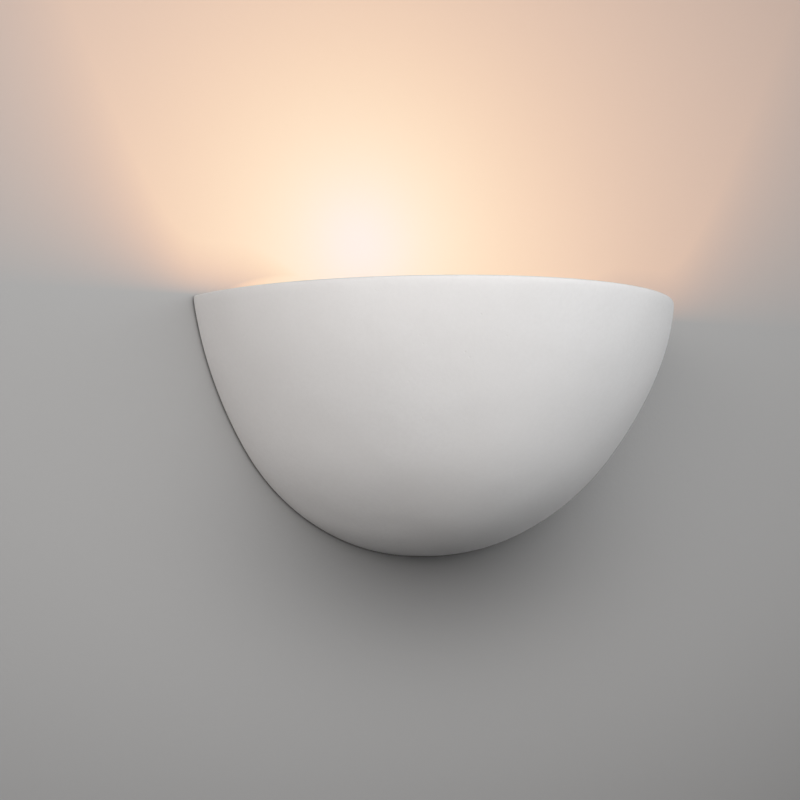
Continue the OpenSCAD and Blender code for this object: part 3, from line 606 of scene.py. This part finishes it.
def back_columns(surface, top_x, ratio, step=0.0022):
    """Half widths at which the bowl is sliced, from the corner of the rim to the middle."""
    columns = [0.0, 0.0001, 0.0003, 0.0006, 0.001, 0.0015, 0.0022, 0.0032, 0.0045, 0.0065, 0.009,
               0.012]
    columns = [top_x * math.cos(math.asin(y / (ratio * top_x))) for y in columns]
    run, last = 0.0, (columns[-1], level_at(surface, columns[-1])[0])
    for point in reversed([p for p in surface if p[0] < columns[-1]]):
        length = math.dist(point, last)
        while run + length >= step:
            f = (step - run) / length
            last = (last[0] + (point[0] - last[0]) * f, last[1] + (point[1] - last[1]) * f)
            columns.append(last[0])
            length, run = math.dist(point, last), 0.0
        run, last = run + length, point
    columns = [x for x in columns if x > step / 2]
    return columns + [0.0] + [-x for x in reversed(columns)]


def slice_rows(reach, edge, rows=40):
    """Distances from the back edge along one slice: close together at both of its ends."""
    scale = min(1.0, reach / (4 * edge)) * edge
    near = [scale * (1 - math.cos(math.pi / 2 * i / 5)) for i in range(6)]
    return near + [near[-1] + (reach - near[-1]) * math.sin(math.pi / 2 * i / rows)
                   for i in range(1, rows + 1)]


def skin(bowl, points, top_x, columns, scale, edge, outward):
    """One of the bowl's two surfaces, as rows of points for each slice."""
    grid = []
    for column in columns:
        x = column * scale
        reach = bowl.ratio * math.sqrt(max(top_x ** 2 - x ** 2, 0.0))
        line = []
        for y in slice_rows(reach, edge):
            across = min(math.hypot(x, y / bowl.ratio), top_x)
            z, slope = level_at(points, across)
            px, py = drawn_in(x, y, z, bowl.ratio)
            side = slope * x / max(across, 1e-9)
            size = math.hypot(side, 1.0)
            inset = rounding(y, edge) * outward
            line.append((px - inset * side / size, py, z + inset / size))
        grid.append(line)
    return grid


def lip_skin(bowl, columns, outer_x, inner_x):
    """The lip's own surface, as rows of points for each slice."""
    grid = []
    for column in columns:
        turn = math.acos(max(min(column / outer_x, 1.0), -1.0))
        line = []
        for x, z, nx, nz in bowl.lip(outer_x, inner_x)[1:-1]:
            y = bowl.ratio * x * math.sin(turn)
            px, py = drawn_in(x * math.cos(turn), y, z, bowl.ratio)
            inset = rounding(y, BACK_EDGE)
            line.append((px - inset * nx * math.cos(turn), py, z - inset * nz))
        grid.append(line)
    return grid


def bowl_mesh():
    """The whole bowl, closed, at its place in the part."""
    bowl = Bowl()
    outer_x = bowl.half_width(-UPRIGHT_FROM, 0.0) + UPRIGHT_FROM * RIM_LEAN
    outer_x = min(outer_x, HALF_WIDTH - RIM_SPARE)
    inner_x = HALF_WIDTH - LIP_R - LIP_R * math.cos(SIDE_LEAN)
    outside = bowl.surface(0.0, outer_x, -LIP_EDGE - LIP_DROP)
    inside = bowl.surface(THICK, inner_x, -LIP_EDGE - LIP_DROP)
    columns = back_columns(outside, outer_x, bowl.ratio)
    outer = skin(bowl, outside, outer_x, columns, 1.0, BACK_EDGE, 1.0)
    inner = skin(bowl, inside, inner_x, columns, inner_x / outer_x, BACK_EDGE_INSIDE, -1.0)
    lip = lip_skin(bowl, columns, outer_x, inner_x)
    mesh = bmesh.new()
    rings = [[mesh.verts.new(p) for p in o + l + i[::-1]] for o, l, i in zip(outer, lip, inner)]
    for a, b in zip(rings[:-1], rings[1:]):
        for j in range(len(a)):
            k = (j + 1) % len(a)
            mesh.faces.new((a[j], b[j], b[k], a[k]))
    for ring in (rings[0], rings[-1]):
        first = len(outer[0]) - 1
        mesh.faces.new(ring[first:first + len(lip[0]) + 2])
    bmesh.ops.remove_doubles(mesh, verts=mesh.verts, dist=1e-6)
    bmesh.ops.dissolve_degenerate(mesh, edges=mesh.edges, dist=1e-6)
    bmesh.ops.recalc_face_normals(mesh, faces=mesh.faces)
    for vert in mesh.verts:
        x, y, z = vert.co
        vert.co = (x, -WALL_GAP - y, RIM_Z + z)
    return mesh, bowl


def turned(profile, at, sides=72):
    """A closed solid turned round a line along Y at x and z; profile gives radius and distance."""
    mesh = bmesh.new()
    rings = []
    turns = [2 * math.pi * i / sides for i in range(sides)]
    for radius, out in profile:
        rings.append([mesh.verts.new((at[0] + radius * math.cos(a), -out,
                                      at[1] + radius * math.sin(a))) for a in turns])
    for a, b in zip(rings[:-1], rings[1:]):
        for i in range(sides):
            j = (i + 1) % sides
            mesh.faces.new((a[i], a[j], b[j], b[i]))
    mesh.faces.new(rings[0])
    mesh.faces.new(rings[-1])
    bmesh.ops.recalc_face_normals(mesh, faces=mesh.faces)
    return mesh


def lug_mesh(bowl, side):
    """A lug with softened edges, from its round end at the stud into the wall of the bowl."""
    stud_x = bowl.half_width(-STUD_DROP, THICK) - STUD_INSET
    half = LUG_H / 2
    top = bowl.half_width(half - STUD_DROP, THICK / 2)
    foot = bowl.half_width(-half - STUD_DROP, THICK / 2)
    outline = [(stud_x + half * math.cos(a), half * math.sin(a))
               for a in (math.pi * (0.5 + i / 40) for i in range(41))]
    outline += [(foot, -half), (top, half)]
    mesh = bmesh.new()
    back = [mesh.verts.new((side * x, -LUG_BACK, z)) for x, z in outline]
    front = [mesh.verts.new((side * x, -LUG_BACK - LUG_T, z)) for x, z in outline]
    mesh.faces.new(back)
    mesh.faces.new(front)
    for i in range(len(outline)):
        j = (i + 1) % len(outline)
        mesh.faces.new((back[i], back[j], front[j], front[i]))
    bmesh.ops.recalc_face_normals(mesh, faces=mesh.faces)
    edges = [e for e in mesh.edges if all(v in front for v in e.verts)]
    bmesh.ops.bevel(mesh, geom=edges, offset=LUG_EDGE, segments=3, profile=0.5, affect="EDGES")
    return mesh, (side * stud_x, 0.0)


def combine(target, other, operation):
    """Adds another solid to an object, or cuts it away."""
    change = target.modifiers.new(operation.lower(), "BOOLEAN")
    change.operation = operation
    change.solver = "EXACT"
    change.object = other
    done = target.evaluated_get(bpy.context.evaluated_depsgraph_get())
    mesh = bpy.data.meshes.new_from_object(done)
    target.modifiers.clear()
    target.data = mesh
    bpy.data.objects.remove(other)


def object_from(mesh, name):
    data = bpy.data.meshes.new(name)
    mesh.to_mesh(data)
    mesh.free()
    obj = bpy.data.objects.new(name, data)
    bpy.context.scene.collection.objects.link(obj)
    return obj


def smooth_by_angle(obj, degrees):
    mesh = bmesh.new()
    mesh.from_mesh(obj.data)
    for face in mesh.faces:
        face.smooth = True
    for edge in mesh.edges:
        edge.smooth = edge.is_manifold and edge.calc_face_angle(0.0) < math.radians(degrees)
    mesh.to_mesh(obj.data)
    mesh.free()


def make_shade(finish):
    """The cast shade: the bowl with its two lugs, their seats and stud holes."""
    mesh, bowl = bowl_mesh()
    shade = object_from(mesh, "shade_cast")
    for side in (-1, 1):
        lug, stud = lug_mesh(bowl, side)
        combine(shade, object_from(lug, "lug"), "UNION")
        face = LUG_BACK + LUG_T + SEAT_T
        seat = [(SEAT_R, LUG_BACK + SEAT_SINK), (SEAT_R, face - SEAT_EDGE),
                (SEAT_R - SEAT_EDGE, face), (SEAT_R / 2, face)]
        combine(shade, object_from(turned(seat, stud), "seat"), "UNION")
        hole = [(STUD_HOLE_R, -HOLE_SPARE), (STUD_HOLE_R, face + HOLE_SPARE)]
        combine(shade, object_from(turned(hole, stud, 48), "hole"), "DIFFERENCE")
    smooth_by_angle(shade, CAST_ANGLE)
    shade.data.materials.clear()
    shade.data.materials.append(finish)
    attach(shade, "shade")
    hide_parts("shade")


# --- the lamp's screw cap and the wires --------------------------------------

def ease(value):
    value = min(max(value, 0.0), 1.0)
    return value * value * (3 - 2 * value)


def cap_radius(z, turn):
    """Radius of the screw cap: tapered foot, rolled screw thread, plain collar."""
    depth = CAP_R - CAP_ROOT_R
    collar = CAP_TOP - CAP_COLLAR
    foot = 1 - ease((z - CAP_FOOT) / depth)
    wave = 0.5 + 0.5 * math.cos(2 * math.pi * z / CAP_PITCH - turn)
    start = ease((z - CAP_FOOT - depth) / THREAD_IN)
    end = 1 - ease((z - collar + THREAD_END) / THREAD_OUT)
    thread = max(wave * start * end, ease((z - collar) / COLLAR_IN))
    return CAP_ROOT_R - foot * depth + depth * thread


def make_cap(finish, rings=100, sides=120):
    mesh = bmesh.new()
    rows = []
    for i in range(rings + 1):
        z = CAP_FOOT + (CAP_TOP - CAP_FOOT) * i / rings
        row = []
        for j in range(sides):
            turn = 2 * math.pi * j / sides
            radius = cap_radius(z, turn)
            row.append(mesh.verts.new((radius * math.cos(turn), radius * math.sin(turn) - LAMP_OUT,
                                       LAMP_Z + z)))
        rows.append(row)
    for a, b in zip(rows[:-1], rows[1:]):
        for j in range(sides):
            k = (j + 1) % sides
            mesh.faces.new((a[j], a[k], b[k], b[j]))
    mesh.faces.new(rows[0])
    mesh.faces.new(rows[-1])
    bmesh.ops.recalc_face_normals(mesh, faces=mesh.faces)
    cap = object_from(mesh, "lamp_cap_threaded")
    smooth_by_angle(cap, TURNED_ANGLE)
    cap.data.materials.append(finish)
    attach(cap, "lamp")
    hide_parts("lamp_cap")


def curve_points(a, b, c, d, steps=48):
    """Points along a cubic curve with the four control points given."""
    points = []
    for i in range(steps + 1):
        t = i / steps
        mix = ((1 - t) ** 3, 3 * t * (1 - t) ** 2, 3 * t * t * (1 - t), t ** 3)
        points.append(Vector(tuple(sum(m * p[n] for m, p in zip(mix, (a, b, c, d)))
                                   for n in range(3))))
    return points


def holder_route(x, end_y):
    """A wire's path from its pole of the block down and out into the holder."""
    start = (x, -WIRE_OUT, BLOCK_FOOT)
    entry = (x, -HOLDER_ENTRY, WIRE_LEVEL)
    drop = BLOCK_FOOT - WIRE_LEVEL
    bend = curve_points((x, -WIRE_OUT, BLOCK_FOOT - WIRE_STRAIGHT),
                        (x, -WIRE_OUT, BLOCK_FOOT - WIRE_PULL * drop),
                        (x, drop - HOLDER_ENTRY, WIRE_LEVEL), entry)
    return [Vector(start)] + bend + [Vector((x, end_y, WIRE_LEVEL))]


def earth_route():
    """The earth wire's path: a hanging loop from the block up into the lug's barrel."""
    start = (POLES[2], -WIRE_OUT, BLOCK_FOOT)
    entry = (EARTH_X, -BARREL_OUT, BARREL_FOOT - BARREL_BELOW)
    low = BLOCK_FOOT - EARTH_SAG
    bend = curve_points(start, (*start[:2], low), (*entry[:2], low - EARTH_TILT), entry)
    return bend + [Vector((EARTH_X, -BARREL_OUT, BARREL_FOOT + BARREL_IN))]


def make_wire(name, node, path, side, finishes, sides=28, stripe=0):
    """Insulated wire along a path; the first stripe of its sides takes the second finish."""
    mesh = bmesh.new()
    rows = []
    for i, point in enumerate(path):
        along = (path[min(i + 1, len(path) - 1)] - path[max(i - 1, 0)]).normalized()
        across = along.cross(side).normalized()
        other = across.cross(along)
        rows.append([mesh.verts.new(point + WIRE_R * (math.cos(w) * across + math.sin(w) * other))
                     for w in (2 * math.pi * k / sides for k in range(sides))])
    for a, b in zip(rows[:-1], rows[1:]):
        for k in range(sides):
            m = (k + 1) % sides
            face = mesh.faces.new((a[k], a[m], b[m], b[k]))
            face.material_index = 1 if k < stripe else 0
    mesh.faces.new(rows[0])
    mesh.faces.new(rows[-1])
    bmesh.ops.recalc_face_normals(mesh, faces=mesh.faces)
    wire = object_from(mesh, name)
    smooth_by_angle(wire, TURNED_ANGLE)
    for finish in finishes:
        wire.data.materials.append(finish)
    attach(wire, "frame")
    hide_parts(node)


def make_wires(finishes):
    sideways, outward = Vector((1, 0, 0)), Vector((0, 1, 0))
    make_wire("live_lead", "live_wire", holder_route(POLES[0], -LIVE_END), sideways,
              [finishes["wire_brown"]])
    make_wire("neutral_lead", "neutral_wire", holder_route(POLES[1], -NEUTRAL_END),
              sideways, [finishes["wire_blue"]])
    yellow = moulded("wire_yellow", (0.66, 0.55, 0.04), (0.76, 0.65, 0.07), 0.3, 0.42)
    make_wire("earth_lead", "earth_wire", earth_route(), outward,
              [finishes["wire_earth"], yellow], stripe=EARTH_STRIPE)


# --- dressing ----------------------------------------------------------------

FINISH = {
    "plaster": ("shade",),
    "zinc_steel": ("wall_bracket", "holder_arm", "shade_studs"),
    "nickel": ("thumb_nut_left", "thumb_nut_right", "stud_washers", "terminal_screws",
               "block_screw", "earth_washer", "arm_rivets", "holder_screws",
               "holder_terminal_screws", "wire_ferrules", "lamp_cap", "holder_shell", "lamp_tip",
               "earth_lug"),
    "brass": ("terminal_clamps", "earth_screw", "holder_centre_contact", "holder_rivets",
              "holder_terminals"),
    "porcelain": ("holder_porcelain",),
    "black_rubber": ("cable_bushing",),
    "white_nylon": ("terminal_block",),
    "wire_brown": ("live_wire",),
    "wire_blue": ("neutral_wire",),
    "wire_earth": ("earth_wire",),
    "opal_globe": ("lamp_globe",),
    "lamp_white": ("lamp_housing",),
    "board_white": ("lamp_board",),
    "led_yellow": ("lamp_leds",),
    "black_glass": ("lamp_insulator",),
}


def make_finishes():
    return {
        "plaster": plaster(),
        "zinc_steel": zinc_steel(),
        "nickel": bright_metal("nickel", (0.60, 0.58, 0.54), (0.74, 0.72, 0.68), 0.16, 0.30, 700.0),
        "brass": bright_metal("brass", (0.62, 0.44, 0.16), (0.78, 0.58, 0.25), 0.22, 0.36, 500.0),
        "porcelain": porcelain(),
        "black_rubber": moulded("black_rubber", (0.025, 0.025, 0.026), (0.045, 0.045, 0.046),
                                0.5, 0.7, 800.0, 0.00005),
        "white_nylon": moulded("white_nylon", (0.70, 0.69, 0.64), (0.77, 0.76, 0.71), 0.35, 0.5),
        "wire_brown": moulded("wire_brown", (0.13, 0.055, 0.025), (0.18, 0.08, 0.035), 0.3, 0.42),
        "wire_blue": moulded("wire_blue", (0.03, 0.13, 0.42), (0.045, 0.18, 0.52), 0.3, 0.42),
        "wire_earth": moulded("wire_earth", (0.06, 0.26, 0.045), (0.09, 0.34, 0.06), 0.3, 0.42),
        "opal_globe": opal_globe(),
        "lamp_white": moulded("lamp_white", (0.74, 0.735, 0.72), (0.79, 0.785, 0.77), 0.3, 0.42),
        "board_white": moulded("board_white", (0.76, 0.76, 0.74), (0.81, 0.81, 0.79), 0.4, 0.5),
        "led_yellow": led_yellow(),
        "black_glass": moulded("black_glass", (0.012, 0.012, 0.014), (0.02, 0.02, 0.024),
                               0.08, 0.16, Coat_Weight=0.5),
    }


def dress_nodes(finishes):
    for slot, names in FINISH.items():
        for name in names:
            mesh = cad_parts[name].data
            for i in range(len(mesh.materials)):
                mesh.materials[i] = finishes[slot]
            if not mesh.materials:
                mesh.materials.append(finishes[slot])


bpy.context.scene.view_settings.view_transform = "Standard"
make_camera()
make_floor()
make_lights(make_wall())
make_world()
FINISHES = make_finishes()
dress_nodes(FINISHES)
make_shade(FINISHES["plaster"])
make_cap(FINISHES["nickel"])
make_wires(FINISHES)
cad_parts["lamp_globe"].visible_shadow = False
